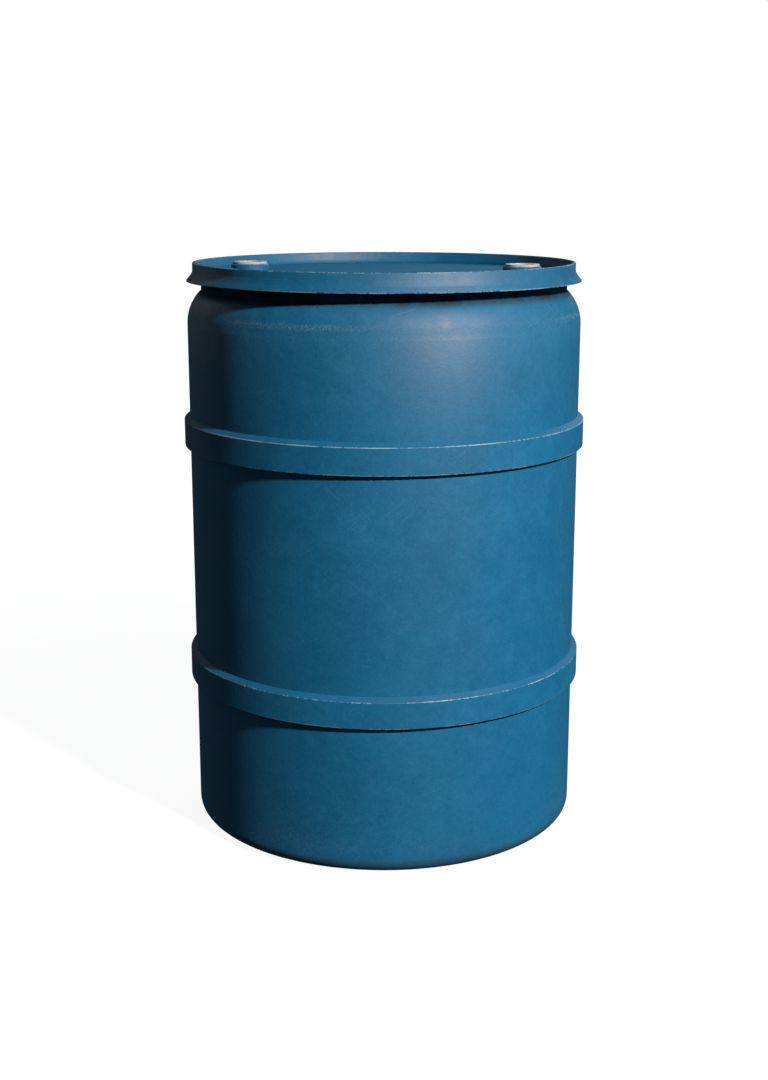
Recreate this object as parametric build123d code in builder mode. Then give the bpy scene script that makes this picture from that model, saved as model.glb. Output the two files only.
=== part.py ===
"""Tight-head plastic rain barrel: a 55 US gallon drum with a handling ring round its head, two rolling
hoops and two screwed bungs. Millimetres, +Z up, origin at the centre of the base on the ground.
The front of the drum faces -Y."""

import math
import os

from build123d import *

os.makedirs("parts", exist_ok=True)

# ---------------------------------------------------------------- drum
HEIGHT = 841.0  # ground to the top of the handling ring
R_BODY = 290.0  # outside of the straight wall
WALL = 4.0
R_CORNER = 20.0  # between the wall and the ground
BASE_RISE = 14.0  # underside of the base panel above the ground
R_PANEL = 196.0
R_STAND = 226.0  # inner edge of the ring the drum stands on
SEAM_W, SEAM_H = 2.4, 1.4  # pinch-off seam across the base panel

R_NECK = 269.0
R_NECK_IN = 264.0
SHOULDER_Z = 753.5  # where the wall starts to turn in
R_SHOULDER = 65.0
NECK_Z = SHOULDER_Z + math.sqrt(R_SHOULDER**2 - (R_NECK - (R_BODY - R_SHOULDER)) ** 2)
NECK_IN_Z = SHOULDER_Z + math.sqrt(
    (R_SHOULDER - WALL) ** 2 - (R_NECK_IN - (R_BODY - R_SHOULDER)) ** 2
)

# ---------------------------------------------------------------- rolling hoops
R_HOOP = 298.2
HOOP_SEAT = 1.5  # depth of the groove each hoop sits in
HOOP_H = 38.7  # height of the hoop's upright face
HOOP_BEVEL = 6.2  # its top face falls this much from the wall to the edge
HOOP_EDGE = 1.2
HOOP_LOW_Z = 219.9
HOOP_HIGH_Z = 574.7

# ---------------------------------------------------------------- head and handling ring
DECK_Z = 824.0  # top of the head
DECK_T = 5.0
R_RING = 281.0  # outside of the ring's upright wall
RING_T = 5.0
R_TIP = 290.0  # lifting edge
FLARE_Z = 826.0
FLARE_BLEND = 12.0
TIP_Z = 814.5
TIP_H = 1.2
RING_EDGE = 1.2
SKIRT_GAP = 0.15
SKIRT_T = 4.0
SKIRT_L = 10.0

# ---------------------------------------------------------------- bungs
BUNG_R = 203.9  # bung centres from the drum's axis
BUNG_TURN = 10.4  # and turned clockwise of the X axis, in degrees
R_BOSS = 28.1
BOSS_TOP = 835.6
BOSS_BOTTOM = 808.0
R_BOSS_FLANGE = 38.0
BOSS_FLANGE_T = 4.0
R_BOSS_TAIL = 25.5
HOLE_GAP = 0.1
BOSS_EDGE = 1.5
SEAT_R, SEAT_H = 23.9, 2.0  # gasket seat in the top of the boss

PITCH = 4.0  # coarse right-hand thread
BORE_R, BORE_MAJOR = 20.0, 21.5  # crests and roots of the boss's thread
PLUG_ROOT, PLUG_CREST = 19.5, 21.15
R_HEAD, HEAD_H = 25.2, 3.2
PLUG_BOTTOM = 816.0
RECESS_R, RECESS_FLOOR = 17.2, 819.5  # wrench recess
HUB_R, HUB_TOP = 12.0, 835.5
LUG_W, LUG_TOP = 3.2, 832.5
PLUG_THREAD_Z = PLUG_BOTTOM + 0.5 * PITCH
PLUG_TURNS = 2.5
BOSS_THREAD_Z = PLUG_THREAD_Z - 1.5 * PITCH  # half a pitch off, so the two are in mesh
BOSS_TURNS = 4.5
GASKET_R, GASKET_IN = 23.5, 19.85

# half-inch parallel pipe thread in the middle of each plug: the blind hole's wall stands at the roots of its thread
CENTRE_R = 10.48

BUNGS = {
    "left": (
        -BUNG_R * math.cos(math.radians(BUNG_TURN)),
        BUNG_R * math.sin(math.radians(BUNG_TURN)),
    ),
    "right": (
        BUNG_R * math.cos(math.radians(BUNG_TURN)),
        -BUNG_R * math.sin(math.radians(BUNG_TURN)),
    ),
}


def write(part, name):
    part.label = name
    export_step(part, f"parts/{name}.step")


def upright(x, y, z=0.0):
    """The plane through (x, y) whose first direction is +X and second is +Z, for profiles turned about a bung's axis."""
    return Plane(origin=(x, y, z), x_dir=(1, 0, 0), z_dir=(0, -1, 0))


def circles(part, radius, z):
    """The circular edges of that radius at that height."""
    return (
        part.edges()
        .filter_by(GeomType.CIRCLE)
        .filter_by(
            lambda e: abs(e.radius - radius) < 0.02 and abs(e.center().Z - z) < 0.02
        )
    )


def ridge(x, y, z, rise, pitch, r_in, r_out, w_in, w_out):
    """A helical thread ridge of trapezium section, starting at (x + radius, y, z)."""
    with BuildPart() as turned:
        with BuildLine():
            Helix(
                pitch=pitch, height=rise, radius=(r_in + r_out) / 2, center=(x, y, z)
            )
        with BuildSketch(upright(x, y, z)):
            with BuildLine():
                Polyline(
                    (r_in, -w_in / 2),
                    (r_out, -w_out / 2),
                    (r_out, w_out / 2),
                    (r_in, w_in / 2),
                    close=True,
                )
            make_face()
        sweep(is_frenet=True)
    return turned.part


# ================================================================ drum shell
def hoop_groove(z):
    return [
        (R_BODY, z),
        (R_BODY - HOOP_SEAT, z),
        (R_BODY - HOOP_SEAT, z + HOOP_H + HOOP_BEVEL),
        (R_BODY, z + HOOP_H + HOOP_BEVEL),
    ]


with BuildPart() as drum_shell:
    with BuildSketch(Plane.XZ):
        with BuildLine():
            # outside: base panel, standing ring, rounded corner
            FilletPolyline(
                (0, BASE_RISE),
                (R_PANEL, BASE_RISE),
                (R_STAND, 0),
                (R_BODY, 0),
                (R_BODY, 100),
                radius=[12.0, 7.0, R_CORNER],
            )
            # outside wall with the two hoop seats
            Polyline(
                (R_BODY, 100),
                *hoop_groove(HOOP_LOW_Z),
                *hoop_groove(HOOP_HIGH_Z),
                (R_BODY, SHOULDER_Z),
            )
            # shoulder
            RadiusArc((R_BODY, SHOULDER_Z), (R_NECK, NECK_Z), -R_SHOULDER, short_sagitta=True)
            # neck
            Polyline(
                (R_NECK, NECK_Z),
                (R_NECK, DECK_Z - DECK_T),
                (R_NECK_IN, DECK_Z - DECK_T),
                (R_NECK_IN, NECK_IN_Z),
            )
            RadiusArc(
                (R_NECK_IN, NECK_IN_Z),
                (R_BODY - WALL, SHOULDER_Z),
                R_SHOULDER - WALL,
                short_sagitta=True,
            )
            Polyline((R_BODY - WALL, SHOULDER_Z), (R_BODY - WALL, 100))
            FilletPolyline(
                (R_BODY - WALL, 100),
                (R_BODY - WALL, WALL),
                (R_STAND + 2.0, WALL),
                (R_PANEL + 1.2, BASE_RISE + WALL),
                (0, BASE_RISE + WALL),
                radius=[R_CORNER - WALL, 11.0, 8.0],
            )
            Polyline((0, BASE_RISE + WALL), (0, BASE_RISE))
        make_face()
    revolve(axis=Axis.Z)
    # pinch-off seam left by the mould across the base panel
    with Locations((0, 0, BASE_RISE - SEAM_H)):
        Box(
            2 * R_PANEL - 24,
            SEAM_W,
            SEAM_H + 2.0,
            align=(Align.CENTER, Align.CENTER, Align.MIN),
        )
write(drum_shell.part, "drum_shell")


# ================================================================ rolling hoops
def make_hoop(z):
    with BuildPart() as hoop:
        with BuildSketch(Plane.XZ):
            with BuildLine():
                Polyline(
                    (R_BODY - HOOP_SEAT, z),
                    (R_HOOP, z),
                    (R_HOOP, z + HOOP_H),
                    (R_BODY, z + HOOP_H + HOOP_BEVEL),
                    (R_BODY - HOOP_SEAT, z + HOOP_H + HOOP_BEVEL),
                    close=True,
                )
            make_face()
        revolve(axis=Axis.Z)
        fillet(
            circles(hoop.part, R_HOOP, z) + circles(hoop.part, R_HOOP, z + HOOP_H),
            radius=HOOP_EDGE,
        )
    return hoop.part


write(make_hoop(HOOP_HIGH_Z), "upper_rolling_hoop")
write(make_hoop(HOOP_LOW_Z), "lower_rolling_hoop")

# ================================================================ handling ring
with BuildPart() as handling_ring:
    with BuildSketch(Plane.XZ):
        with BuildLine():
            Polyline(
                (R_NECK, TIP_Z),
                (R_TIP, TIP_Z),
                (R_TIP, TIP_Z + TIP_H),
                (R_RING, FLARE_Z),
                (R_RING, HEIGHT),
                (R_RING - RING_T, HEIGHT),
                (R_RING - RING_T, DECK_Z - DECK_T),
                (R_NECK, DECK_Z - DECK_T),
                close=True,
            )
        make_face()
    revolve(axis=Axis.Z)
    fillet(
        circles(handling_ring.part, R_RING, HEIGHT)
        + circles(handling_ring.part, R_RING - RING_T, HEIGHT),
        radius=RING_EDGE,
    )
    fillet(circles(handling_ring.part, R_RING, FLARE_Z), radius=FLARE_BLEND)
write(handling_ring.part, "handling_ring")

# ================================================================ head
with BuildPart() as top_head:
    with BuildSketch(Plane.XZ):
        with BuildLine():
            Polyline(
                (0, DECK_Z),
                (R_RING - RING_T, DECK_Z),
                (R_RING - RING_T, DECK_Z - DECK_T),
                (R_NECK_IN - SKIRT_GAP, DECK_Z - DECK_T),
                (R_NECK_IN - SKIRT_GAP, DECK_Z - DECK_T - SKIRT_L),
                (R_NECK_IN - SKIRT_GAP - SKIRT_T, DECK_Z - DECK_T - SKIRT_L),
                (R_NECK_IN - SKIRT_GAP - SKIRT_T, DECK_Z - DECK_T),
                (0, DECK_Z - DECK_T),
                close=True,
            )
        make_face()
    revolve(axis=Axis.Z)
    with Locations(*[(x, y, DECK_Z) for x, y in BUNGS.values()]):
        Hole(R_BOSS + HOLE_GAP)
write(top_head.part, "top_head")


# ================================================================ threaded bosses
def make_boss(x, y):
    thread = ridge(
        x, y, BOSS_THREAD_Z, BOSS_TURNS * PITCH, PITCH, BORE_R, BORE_MAJOR + 0.4, 1.5, 2.77
    )
    with BuildPart() as boss:
        with BuildSketch(upright(x, y)):
            with BuildLine():
                Polyline(
                    (BORE_MAJOR, BOSS_BOTTOM),
                    (R_BOSS_TAIL, BOSS_BOTTOM),
                    (R_BOSS_TAIL, DECK_Z - DECK_T - BOSS_FLANGE_T),
                    (R_BOSS_FLANGE, DECK_Z - DECK_T - BOSS_FLANGE_T),
                    (R_BOSS_FLANGE, DECK_Z - DECK_T),
                    (R_BOSS, DECK_Z - DECK_T),
                    (R_BOSS, BOSS_TOP - BOSS_EDGE),
                    (R_BOSS - BOSS_EDGE, BOSS_TOP),
                    (SEAT_R, BOSS_TOP),
                    (SEAT_R, BOSS_TOP - SEAT_H),
                    (BORE_MAJOR, BOSS_TOP - SEAT_H),
                    close=True,
                )
            make_face()
        revolve(axis=Axis((x, y, 0), (0, 0, 1)))
        add(thread)
    return boss.part


# ================================================================ bung plugs
def make_plug(x, y):
    thread = ridge(
        x, y, PLUG_THREAD_Z, PLUG_TURNS * PITCH, PITCH, PLUG_ROOT - 0.4, PLUG_CREST, 2.15, 0.8
    )
    with BuildPart() as plug:
        with BuildSketch(upright(x, y)):
            with BuildLine():
                Polyline(
                    (0, PLUG_BOTTOM),
                    (PLUG_ROOT - 0.8, PLUG_BOTTOM),
                    (PLUG_ROOT, PLUG_BOTTOM + 0.8),
                    (PLUG_ROOT, BOSS_TOP),
                    (R_HEAD, BOSS_TOP),
                    (R_HEAD, BOSS_TOP + HEAD_H),
                    (RECESS_R, BOSS_TOP + HEAD_H),
                    (RECESS_R, RECESS_FLOOR),
                    (HUB_R, RECESS_FLOOR),
                    (HUB_R, HUB_TOP),
                    (0, HUB_TOP),
                    close=True,
                )
            make_face()
        revolve(axis=Axis((x, y, 0), (0, 0, 1)))
        fillet(circles(plug.part, R_HEAD, BOSS_TOP + HEAD_H), radius=0.9)
        fillet(circles(plug.part, RECESS_R, BOSS_TOP + HEAD_H), radius=0.7)
        # four wrench lugs across the recess
        with Locations((x, y, RECESS_FLOOR)):
            with PolarLocations((HUB_R + RECESS_R) / 2, 4, start_angle=45):
                Box(
                    RECESS_R - HUB_R + 1.2,
                    LUG_W,
                    LUG_TOP - RECESS_FLOOR,
                    align=(Align.CENTER, Align.CENTER, Align.MIN),
                )
        # blind centre hole, down to the floor of the recess
        with BuildSketch(Plane((x, y, RECESS_FLOOR))):
            Circle(CENTRE_R)
        extrude(amount=HUB_TOP - RECESS_FLOOR + 1.0, mode=Mode.SUBTRACT)
        add(thread)
    return plug.part


def make_gasket(x, y):
    with BuildPart() as gasket:
        with BuildSketch(Plane((x, y, BOSS_TOP - SEAT_H + 0.05))):
            Circle(GASKET_R)
            Circle(GASKET_IN, mode=Mode.SUBTRACT)
        extrude(amount=SEAT_H - 0.1)
        fillet(gasket.part.edges().filter_by(GeomType.CIRCLE), radius=0.4)
    return gasket.part


for side, (bx, by) in BUNGS.items():
    write(make_boss(bx, by), f"bung_boss_{side}")
    write(make_plug(bx, by), f"bung_plug_{side}")
    write(make_gasket(bx, by), f"bung_gasket_{side}")
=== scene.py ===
import math
import bpy
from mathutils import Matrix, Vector

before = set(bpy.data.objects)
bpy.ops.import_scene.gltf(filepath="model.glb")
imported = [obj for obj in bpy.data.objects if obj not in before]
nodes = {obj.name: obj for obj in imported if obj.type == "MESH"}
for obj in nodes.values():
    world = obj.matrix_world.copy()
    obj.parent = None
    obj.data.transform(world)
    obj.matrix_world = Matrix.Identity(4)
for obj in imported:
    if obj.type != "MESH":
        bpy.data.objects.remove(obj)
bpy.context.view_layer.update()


# ---------------------------------------------------------------- shader helper
class Shader:
    """A short way to write a node tree: every method returns a socket, and takes sockets or plain numbers."""

    def __init__(self, name):
        self.mat = bpy.data.materials.new(name)
        self.mat.use_nodes = True
        self.tree = self.mat.node_tree
        self.tree.nodes.clear()
        self.out = self.new("ShaderNodeOutputMaterial")
        self.bsdf = self.new("ShaderNodeBsdfPrincipled")
        self.tree.links.new(self.bsdf.outputs["BSDF"], self.out.inputs["Surface"])
        coords = self.new("ShaderNodeTexCoord").outputs["Object"]
        self.pos = coords
        sep = self.new("ShaderNodeSeparateXYZ")
        self.tree.links.new(coords, sep.inputs[0])
        self.x, self.y, self.z = sep.outputs

    def new(self, kind, **props):
        n = self.tree.nodes.new(kind)
        for k, v in props.items():
            setattr(n, k, v)
        return n

    def put(self, socket, value):
        if value is None:
            return
        if isinstance(value, bpy.types.NodeSocket):
            self.tree.links.new(value, socket)
        elif isinstance(value, (tuple, list)) and len(value) == 3 and socket.type == "RGBA":
            socket.default_value = (*value, 1.0)
        else:
            socket.default_value = value

    def math(self, op, a, b=None, c=None, clamp=False):
        n = self.new("ShaderNodeMath", operation=op, use_clamp=clamp)
        for s, v in zip(n.inputs, (a, b, c)):
            self.put(s, v)
        return n.outputs[0]

    def add(self, a, b):
        return self.math("ADD", a, b)

    def sub(self, a, b):
        return self.math("SUBTRACT", a, b)

    def mul(self, a, b):
        return self.math("MULTIPLY", a, b)

    def vec(self, x, y, z=0.0):
        n = self.new("ShaderNodeCombineXYZ")
        for s, v in zip(n.inputs, (x, y, z)):
            self.put(s, v)
        return n.outputs[0]

    def ramp(self, v, lo, hi, a=0.0, b=1.0, smooth=True):
        n = self.new("ShaderNodeMapRange", interpolation_type="SMOOTHSTEP" if smooth else "LINEAR")
        for s, x in zip(n.inputs, (v, lo, hi, a, b)):
            self.put(s, x)
        return n.outputs[0]

    def noise(self, vector, scale, detail=3.0, rough=0.5, distortion=0.0):
        n = self.new("ShaderNodeTexNoise", noise_dimensions="3D")
        self.put(n.inputs["Vector"], vector)
        n.inputs["Scale"].default_value = scale
        n.inputs["Detail"].default_value = detail
        n.inputs["Roughness"].default_value = rough
        n.inputs["Distortion"].default_value = distortion
        return n.outputs["Fac"]

    def mix(self, fac, a, b, blend="MIX"):
        n = self.new("ShaderNodeMix", data_type="RGBA", blend_type=blend, clamp_factor=True)
        self.put(n.inputs[0], fac)
        self.put(n.inputs[6], a)
        self.put(n.inputs[7], b)
        return n.outputs[2]

    def bump(self, height, strength, distance, normal=None):
        n = self.new("ShaderNodeBump")
        n.inputs["Strength"].default_value = strength
        n.inputs["Distance"].default_value = distance
        self.put(n.inputs["Height"], height)
        if normal is not None:
            self.put(n.inputs["Normal"], normal)
        return n.outputs[0]

    def finish(self, colour, rough, normal=None, specular=0.5):
        self.put(self.bsdf.inputs["Base Color"], colour)
        self.put(self.bsdf.inputs["Roughness"], rough)
        self.bsdf.inputs["Specular IOR Level"].default_value = specular
        self.bsdf.inputs["Specular Tint"].default_value = (1.0, 0.82, 0.66, 1.0)
        if normal is not None:
            self.put(self.bsdf.inputs["Normal"], normal)
        return self.mat


def scratches(s, u, v, angle, along, across, lo, hi, offset):
    """Short straight flecks that run at an angle to u on the unrolled surface."""
    c, d = math.cos(math.radians(angle)), math.sin(math.radians(angle))
    p = s.add(s.mul(u, c), s.mul(v, d))
    q = s.add(s.mul(u, -d), s.mul(v, c))
    return s.ramp(s.noise(s.vec(s.mul(p, along), s.mul(q, across), offset), 1.0, 2.0, 0.55), lo, hi)


def hatch(s, u, v, pitch, wobble):
    """Two crossed sets of fine parallel rub marks."""
    sets = []
    for sign in (1.0, -1.0):
        across = s.add(s.mul(s.add(u, s.mul(v, sign)), 0.7071), s.mul(wobble, pitch * 0.9))
        sets.append(s.ramp(s.math("SINE", s.mul(across, 2 * math.pi / pitch)), 0.30, 0.95))
    return s.math("MAXIMUM", sets[0], sets[1])


def lean(s, z, low, high, fade, degrees):
    """Height for a bump that leans the skin upwards, from nothing at low to so many degrees at high, and back to nothing at fade."""
    t = math.tan(math.radians(degrees))
    rise = s.math("MINIMUM", s.math("MAXIMUM", s.sub(z, low), 0.0), high - low)
    h = s.mul(s.mul(rise, rise), -0.5 * t / (high - low))
    past = s.math("MINIMUM", s.math("MAXIMUM", s.sub(z, high), 0.0), fade - high)
    back_ = s.mul(s.mul(past, past), 0.5 * t / (fade - high))
    return s.add(h, s.add(s.mul(past, -t), back_))


def ease(s, z, low, high, up, down):
    """Height for a bump that eases an inside corner: the skin leans up above its fillet and down below it, turning evenly between."""
    tu, td = math.tan(math.radians(up)), math.tan(math.radians(down))
    span = high - low
    below = s.math("MINIMUM", s.sub(z, low), span)
    inside = s.math("MAXIMUM", below, 0.0)
    above = s.math("MAXIMUM", s.sub(z, high), 0.0)
    return s.sub(s.sub(s.mul(below, td), s.mul(s.mul(inside, inside), 0.5 * (tu + td) / span)), s.mul(above, tu))


def polyethylene(name, edges=(), flat=False, wear=1.0, belts=(), leans=(), eases=(), dark_bands=(), tone=1.0, painted_upper_shade=None, gloss=0.54, dull=0.0, seed=0.0):
    """Blue moulded polyethylene.

    edges: (radius, height, width, cover, strength) of rims worn pale. belts: (low, high, amount) of rubbed zones.
    Darkening bands are (start height, full height, amount, colour): painted shade on the neck under the flange and on
    the sloping hoop tops, and a darker, greyer colour towards the bottom edge. tone scales the colour, and the
    upper-wall ramp is (low, high, scale) of painted shade that darkens the wall towards the top. flat unrolls the marks
    on X and Y and not round Z.
    """
    s = Shader(name)
    r = s.math("SQRT", s.add(s.mul(s.x, s.x), s.mul(s.y, s.y)))
    angle = s.math("ARCTAN2", s.x, s.mul(s.y, -1.0))
    if flat:
        u, v = s.x, s.y
    else:
        u, v = s.mul(angle, 0.29), s.z
    shifted = s.new("ShaderNodeVectorMath", operation="ADD")
    s.put(shifted.inputs[0], s.pos)
    shifted.inputs[1].default_value = (seed, seed * 0.7, seed * 1.3)
    p = shifted.outputs[0]

    # colour: faint broad cloudiness, mottling at three scales, tiny pale and dark grains
    broad = s.noise(p, 6.5, 3.0, 0.5, 0.3)
    blotch = s.noise(p, 30.0, 5.0, 0.68, 0.5)
    mid = s.noise(p, 125.0, 3.0, 0.62)
    grain = s.noise(p, 340.0, 3.0, 0.72)
    colour = s.mix(s.ramp(broad, 0.32, 0.68), (0.0016, 0.1115, 0.2340), (0.0026, 0.1275, 0.2630))
    colour = s.mix(s.mul(s.ramp(blotch, 0.48, 0.74), 0.42), colour, (0.0060, 0.1530, 0.2980))
    colour = s.mix(s.mul(s.ramp(blotch, 0.48, 0.26), 0.42), colour, (0.0012, 0.0870, 0.1840))
    colour = s.mix(s.mul(s.ramp(mid, 0.50, 0.74), 0.30), colour, (0.0078, 0.1650, 0.3160))
    colour = s.mix(s.mul(s.ramp(mid, 0.50, 0.27), 0.30), colour, (0.0009, 0.0810, 0.1730))
    colour = s.mix(s.mul(s.ramp(grain, 0.52, 0.78), 0.42), colour, (0.0240, 0.1980, 0.3290))
    colour = s.mix(s.mul(s.ramp(grain, 0.48, 0.25), 0.34), colour, (0.0008, 0.0680, 0.1440))

    # painted shade: where an upper-wall ramp is given, the colour darkens towards the top of the wall
    shade = tone if painted_upper_shade is None else s.ramp(s.z, painted_upper_shade[0], painted_upper_shade[1], tone, tone * painted_upper_shade[2])
    colour = s.mix(1.0, colour, s.vec(shade, shade, shade), "MULTIPLY")

    # fine crossed rub marks in patches, and loose scuffs
    patch = s.ramp(s.noise(p, 8.0, 3.0, 0.6), 0.47, 0.70)
    wobble = s.noise(p, 26.0, 2.0, 0.5)
    dots = s.ramp(s.noise(p, 420.0, 2.0, 0.6), 0.36, 0.60)
    weave = s.mul(hatch(s, u, v, 0.0034, wobble), dots)
    a = scratches(s, u, v, 41, 24, 430, 0.60, 0.72, 1.0 + seed)
    b = scratches(s, u, v, -46, 26, 400, 0.60, 0.72, 5.0 + seed)
    c = scratches(s, u, v, 88, 14, 520, 0.62, 0.75, 9.0 + seed)
    lines = s.math("MAXIMUM", s.math("MAXIMUM", a, b), c)
    scuff = s.mul(lines, s.add(s.mul(patch, 0.75), 0.18))
    colour = s.mix(s.mul(scuff, 0.26 * wear), colour, (0.060, 0.235, 0.350))
    colour = s.mix(s.mul(s.mul(weave, s.add(s.mul(patch, 0.9), 0.04)), 0.11 * wear), colour, (0.060, 0.235, 0.350))

    # a few long deeper scratches
    long_one = scratches(s, u, v, 17, 5.5, 330, 0.745, 0.770, 21.0 + seed)
    long_two = scratches(s, u, v, -63, 6.5, 310, 0.745, 0.770, 27.0 + seed)
    long = s.math("MAXIMUM", long_one, long_two)
    colour = s.mix(s.mul(long, 0.26 * wear), colour, (0.110, 0.280, 0.385))

    rough = s.add(0.50 + dull, s.mul(s.ramp(blotch, 0.3, 0.7), 0.08))
    rough = s.add(rough, s.mul(scuff, 0.10))

    # rubbed belts, pale with fine crossed marks, heavier on some stretches than on others
    for low, high, amount in belts:
        middle, half = (low + high) / 2, (high - low) / 2
        drift = s.mul(s.sub(s.noise(s.vec(s.mul(angle, 9.0), 0.0, seed + 3.0), 1.0, 3.0, 0.6), 0.5), half * 1.1)
        belt = s.ramp(s.math("ABSOLUTE", s.sub(s.add(s.z, drift), middle)), half, half * 0.10)
        turn = s.math("COSINE", s.mul(s.add(angle, 0.63), 3.0))
        stretch = s.ramp(s.add(turn, s.mul(s.noise(s.vec(s.mul(angle, 6.0), s.mul(s.z, 60.0), seed), 1.0, 3.0, 0.6), 0.9)), 0.1, 1.5, 0.20, 1.0)
        crumbs = s.ramp(s.noise(s.vec(s.mul(angle, 60.0), s.mul(s.z, 260.0), seed + 8.0), 1.0, 3.0, 0.65), 0.40, 0.62)
        specks = s.ramp(s.noise(p, 520.0, 2.0, 0.6), 0.52, 0.66)
        marks = s.math("MAXIMUM", s.mul(weave, s.add(s.mul(crumbs, 0.62), 0.08)), s.mul(specks, s.add(s.mul(crumbs, 0.45), 0.25)))
        colour = s.mix(s.mul(s.mul(belt, stretch), s.mul(marks, amount)), colour, (0.185, 0.330, 0.425))

    # darkening bands, uneven: painted shade on the neck under the flange and on the sloping hoop tops, and a darker,
    # greyer colour towards the bottom edge; the bands are made rougher as well
    for band_start, band_full, amount, tone in dark_bands:
        uneven = s.ramp(s.noise(p, 24.0, 4.0, 0.65), 0.25, 0.62, 0.45, 1.0)
        colour = s.mix(s.mul(s.mul(s.ramp(s.z, band_start, band_full), uneven), amount), colour, tone)
        rough = s.add(rough, s.mul(s.ramp(s.z, band_start, band_full), 0.10 * amount + 1.1 * max(0.0, amount - 0.7)))

    # pale worn rims, broken along their length
    fine = s.noise(s.vec(s.mul(angle, 110.0), s.mul(s.z, 300.0), seed + 4), 1.0, 3.0, 0.7)
    worn = None
    for n, (er, ez, width, cover, strength) in enumerate(edges):
        slow = s.noise(s.vec(s.mul(angle, 3.2), 0.0, seed + 11.0 * n), 1.0, 2.0, 0.5)
        dash = s.noise(s.vec(s.mul(angle, 40.0 if cover > 0.5 else 78.0), 0.0, seed + 5.0 + 7.0 * n), 1.0, 3.0, 0.62)
        along = s.add(s.mul(slow, 0.5), s.mul(dash, 0.5))
        on = s.ramp(along, 0.62 - 0.30 * cover, 0.68 - 0.30 * cover)
        gap = s.math("SQRT", s.add(s.math("POWER", s.sub(r, er), 2.0), s.math("POWER", s.sub(s.z, ez), 2.0)))
        gap = s.add(gap, s.mul(s.sub(fine, 0.5), width * 0.7))
        weight = s.mul(s.ramp(slow, 0.34, 0.62, 0.45, 1.0), s.ramp(fine, 0.25, 0.62, 0.45, 1.0))
        one = s.mul(s.mul(s.ramp(gap, width, width * 0.45), on), s.mul(weight, strength))
        worn = one if worn is None else s.math("MAXIMUM", worn, one)
    if worn is not None:
        colour = s.mix(s.mul(worn, wear), colour, (0.380, 0.500, 0.570))
        rough = s.add(rough, s.mul(worn, 0.12))

    # skin: slight waviness, pebbling, marks cut in
    normal = None
    for low, high, fade, degrees in leans:
        normal = s.bump(lean(s, s.z, low, high, fade, degrees), 1.0, 1.0, normal)
    for low, high, up, down in eases:
        normal = s.bump(ease(s, s.z, low, high, up, down), 1.0, 1.0, normal)
    normal = s.bump(s.noise(p, 9.0, 2.0, 0.4), 0.25, 0.004, normal)
    normal = s.bump(s.noise(p, 300.0, 3.0, 0.6), 0.30, 0.0007, normal)
    normal = s.bump(s.noise(p, 900.0, 2.0, 0.5), 0.22, 0.00025, normal)
    cut = s.sub(0.0, s.math("MAXIMUM", s.mul(scuff, 0.5), long))
    normal = s.bump(cut, 0.35, 0.00025, normal)
    return s.finish(colour, rough, normal, gloss)


def cap_plastic(name, centre, seed=0.0):
    """Off-white moulded polyethylene, darker and browner inside its recess."""
    s = Shader(name)
    p = s.pos
    cloud = s.noise(p, 60.0, 4.0, 0.6, 0.3)
    grain = s.noise(p, 700.0, 3.0, 0.6)
    colour = s.mix(s.ramp(cloud, 0.3, 0.7), (0.422, 0.399, 0.384), (0.492, 0.465, 0.444))
    colour = s.mix(s.mul(s.ramp(grain, 0.5, 0.75), 0.25), colour, (0.310, 0.320, 0.315))
    dx, dy = s.sub(s.x, centre[0]), s.sub(s.y, centre[1])
    r = s.math("SQRT", s.add(s.mul(dx, dx), s.mul(dy, dy)))
    deep = s.ramp(s.z, 0.836, 0.8205)
    inner = s.ramp(r, 0.0185, 0.0165)
    # darker, browner, uneven colour inside the recess: below 0.836 m and within 18.5 mm of the plug's centre
    recess_dark = s.mul(s.mul(deep, inner), s.ramp(s.noise(p, 90.0, 4.0, 0.65), 0.25, 0.6))
    colour = s.mix(s.mul(recess_dark, 0.75), colour, (0.130, 0.125, 0.110))
    edge = s.mul(s.ramp(s.math("ABSOLUTE", s.sub(r, 0.0250)), 0.0012, 0.0004), s.ramp(cloud, 0.45, 0.6))
    colour = s.mix(s.mul(edge, 0.5), colour, (0.250, 0.255, 0.250))
    rough = s.add(0.42, s.mul(s.ramp(cloud, 0.3, 0.7), 0.14))
    normal = s.bump(s.noise(p, 1200.0, 2.0, 0.5), 0.25, 0.0002)
    return s.finish(colour, rough, normal, 0.45)


def rubber(name):
    s = Shader(name)
    p = s.pos
    dust = s.noise(p, 150.0, 4.0, 0.65)
    colour = s.mix(s.ramp(dust, 0.35, 0.75), (0.018, 0.018, 0.019), (0.060, 0.058, 0.054))
    rough = s.add(0.62, s.mul(dust, 0.2))
    normal = s.bump(s.noise(p, 2200.0, 2.0, 0.6), 0.3, 0.0001)
    return s.finish(colour, rough, normal, 0.35)


HOOP_R, HOOP_H = 0.2982, 0.0387


def hoop_edges(z, cover):
    return [(HOOP_R, z, 0.0021, 0.52, 0.42), (HOOP_R - 0.0002, z + HOOP_H, 0.0011, cover, 0.66)]


# colours for the darkening bands: the first is a darker, greyer colour towards the bottom edge, the second is painted
# shade on the sloping hoop tops, the third is painted shade on the neck under the flange
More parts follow.
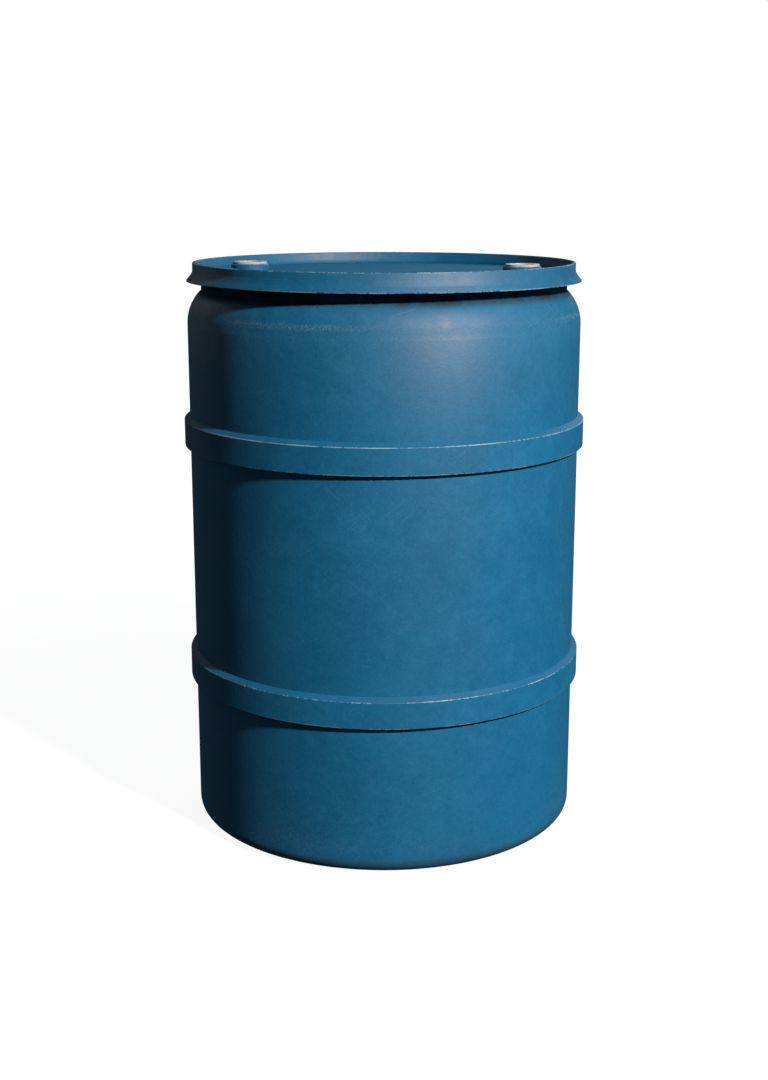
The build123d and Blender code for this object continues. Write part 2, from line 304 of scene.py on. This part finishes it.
LOW_EDGE_GREY = (0.036, 0.056, 0.066)
HOOP_TOP_SHADE = (0.004, 0.088, 0.178)
FLANGE_SHADE = (0.0010, 0.0100, 0.0180)
mats = {
    "drum_shell": polyethylene(
        "shell_blue",
        belts=[(0.7625, 0.7760, 0.92), (0.735, 0.780, 0.14), (0.016, 0.060, 0.34), (0.004, 0.13, 0.14)],
        leans=[(0.620, 0.7535, 0.768, 11.9)],
        # painted shade on the neck under the flange, and a darker, greyer colour towards the bottom edge
        dark_bands=[(0.7905, 0.8010, 0.94, FLANGE_SHADE), (0.030, 0.004, 0.62, LOW_EDGE_GREY)],
        # painted shade darkens the upper wall from 0.6 m up, to 0.87 by 0.7 m
        painted_upper_shade=(0.600, 0.700, 0.87),
    ),
    # painted shade darkens the sloping top face of each hoop
    "upper_rolling_hoop": polyethylene("upper_hoop_blue", hoop_edges(0.5747, 0.66), dark_bands=[(0.6132, 0.6142, 0.50, HOOP_TOP_SHADE)], tone=0.98, seed=2.1),
    "lower_rolling_hoop": polyethylene("lower_hoop_blue", hoop_edges(0.2199, 0.42), dark_bands=[(0.2584, 0.2594, 0.50, HOOP_TOP_SHADE)], tone=1.05, seed=4.3),
    "handling_ring": polyethylene(
        "ring_blue",
        [(0.290, 0.8151, 0.0009, 0.62, 0.62), (0.281, 0.8408, 0.0011, 0.46, 0.62), (0.276, 0.8408, 0.0010, 0.26, 0.40)],
        eases=[(0.8226, 0.8305, 14.0, 14.0)],
        # tone 0.81 darkens the ring; part of this is painted shade that offsets the brightening from its eased bump
        tone=0.81,
        seed=6.7,
    ),
    "top_head": polyethylene("head_blue", flat=True, tone=0.92, gloss=0.12, dull=0.14, seed=8.2),
    "bung_boss_left": polyethylene("boss_left_blue", flat=True, tone=0.86, seed=9.4),
    "bung_boss_right": polyethylene("boss_right_blue", flat=True, tone=0.86, seed=11.2),
    "bung_plug_left": cap_plastic("plug_left_white", (-0.20055, 0.03681)),
    "bung_plug_right": cap_plastic("plug_right_white", (0.20055, -0.03681)),
    "bung_gasket_left": rubber("gasket_left_black"),
    "bung_gasket_right": rubber("gasket_right_black"),
}
for name, mat in mats.items():
    obj = nodes[name]
    if not obj.material_slots:
        obj.data.materials.append(mat)
    for s_ in obj.material_slots:
        s_.material = mat


# ---------------------------------------------------------------- stage
def plane_mesh(name, size, z):
    mesh = bpy.data.meshes.new(name)
    h = size / 2
    mesh.from_pydata([(-h, -h, z), (h, -h, z), (h, h, z), (-h, h, z)], [], [(0, 1, 2, 3)])
    obj = bpy.data.objects.new(name, mesh)
    bpy.context.scene.collection.objects.link(obj)
    return obj


# The floor glows by its own emission, weaker near the drum (0.925 within 0.6 m, rising to 1.0 by 2.4 m) so the lamps'
# shadow still shows there; from below it is see-through, and the drum's diffuse and glossy rays don't see it.
floor = plane_mesh("floor", 60.0, -0.0002)
fm = bpy.data.materials.new("floor_pale")
fm.use_nodes = True
ft = fm.node_tree
ft.nodes.clear()
fo = ft.nodes.new("ShaderNodeOutputMaterial")
fd = ft.nodes.new("ShaderNodeBsdfDiffuse")
fd.inputs["Color"].default_value = (0.16, 0.16, 0.16, 1)
fe = ft.nodes.new("ShaderNodeEmission")
fe.inputs["Color"].default_value = (1, 1, 1, 1)
fe.inputs["Strength"].default_value = 0.95
fa = ft.nodes.new("ShaderNodeAddShader")
ftr = ft.nodes.new("ShaderNodeBsdfTransparent")
fg = ft.nodes.new("ShaderNodeNewGeometry")
fmix = ft.nodes.new("ShaderNodeMixShader")
fc = ft.nodes.new("ShaderNodeTexCoord")
fl = ft.nodes.new("ShaderNodeVectorMath")
fl.operation = "LENGTH"
fr = ft.nodes.new("ShaderNodeMapRange")
fr.interpolation_type = "SMOOTHSTEP"
for k_, v_ in enumerate((0.0, 0.6, 2.4, 0.925, 1.0)):
    if k_:
        fr.inputs[k_].default_value = v_
ft.links.new(fc.outputs["Object"], fl.inputs[0])
ft.links.new(fl.outputs["Value"], fr.inputs[0])
ft.links.new(fr.outputs[0], fe.inputs["Strength"])
ft.links.new(fd.outputs[0], fa.inputs[0])
ft.links.new(fe.outputs[0], fa.inputs[1])
ft.links.new(fg.outputs["Backfacing"], fmix.inputs[0])
ft.links.new(fa.outputs[0], fmix.inputs[1])
ft.links.new(ftr.outputs[0], fmix.inputs[2])
ft.links.new(fmix.outputs[0], fo.inputs["Surface"])
floor.data.materials.append(fm)
floor.visible_diffuse = False
floor.visible_glossy = False

world = bpy.data.worlds.new("studio")
bpy.context.scene.world = world
world.use_nodes = True
wt = world.node_tree
wt.nodes.clear()
wo = wt.nodes.new("ShaderNodeOutputWorld")
wb = wt.nodes.new("ShaderNodeBackground")
wb.inputs["Color"].default_value = (0.58, 0.90, 1.0, 1)
wb.inputs["Strength"].default_value = 0.060
ww = wt.nodes.new("ShaderNodeBackground")
ww.inputs["Color"].default_value = (1, 1, 1, 1)
ww.inputs["Strength"].default_value = 1.0
wp = wt.nodes.new("ShaderNodeLightPath")
wm = wt.nodes.new("ShaderNodeMixShader")
wt.links.new(wp.outputs["Is Camera Ray"], wm.inputs[0])
wt.links.new(wb.outputs[0], wm.inputs[1])
wt.links.new(ww.outputs[0], wm.inputs[2])
wt.links.new(wm.outputs[0], wo.inputs["Surface"])


def area(name, azimuth, elevation, distance, size, power, target=(0, 0, 0.45), colour=(1, 1, 1)):
    """A soft lamp: azimuth 0 is in front, 90 on the right."""
    a, e = math.radians(azimuth), math.radians(elevation)
    data = bpy.data.lights.new(name, "AREA")
    data.shape = "DISK"
    data.size = size
    data.energy = power
    data.color = colour
    obj = bpy.data.objects.new(name, data)
    bpy.context.scene.collection.objects.link(obj)
    way = Vector((math.sin(a) * math.cos(e), -math.cos(a) * math.cos(e), math.sin(e)))
    obj.location = Vector(target) + way * distance
    obj.rotation_mode = "QUATERNION"
    obj.rotation_quaternion = way.to_track_quat("Z", "Y")
    return obj


key = area("key", 37.8, 32, 5.0, 0.40, 348, colour=(1.0, 0.985, 0.96))
back = area("back_fill", 155, 35, 5.0, 2.5, 50)
rim = area("rim_left", -128, 24, 5.0, 3.0, 8.5, colour=(1.0, 0.98, 0.95))
behind = area("behind", 182, 0, 5.0, 0.9, 34, target=(0, 0, 0.30))
side = area("side_fill", 98, 18, 5.0, 2.0, 13, target=(0, 0, 0.30))

# ---------------------------------------------------------------- camera
cam_data = bpy.data.cameras.new("camera")
cam = bpy.data.objects.new("camera", cam_data)
bpy.context.scene.collection.objects.link(cam)
cam.location = (0.0, -2.309, 0.9634)
cam.rotation_euler = (math.radians(90 - 13.27), 0, 0)
cam_data.sensor_width = 36.0
cam_data.lens = 1544.83 / 1080 * 36.0
cam_data.clip_end = 200
bpy.context.scene.camera = cam
bpy.context.scene.view_settings.view_transform = "Standard"
bpy.context.scene.view_settings.look = "None"
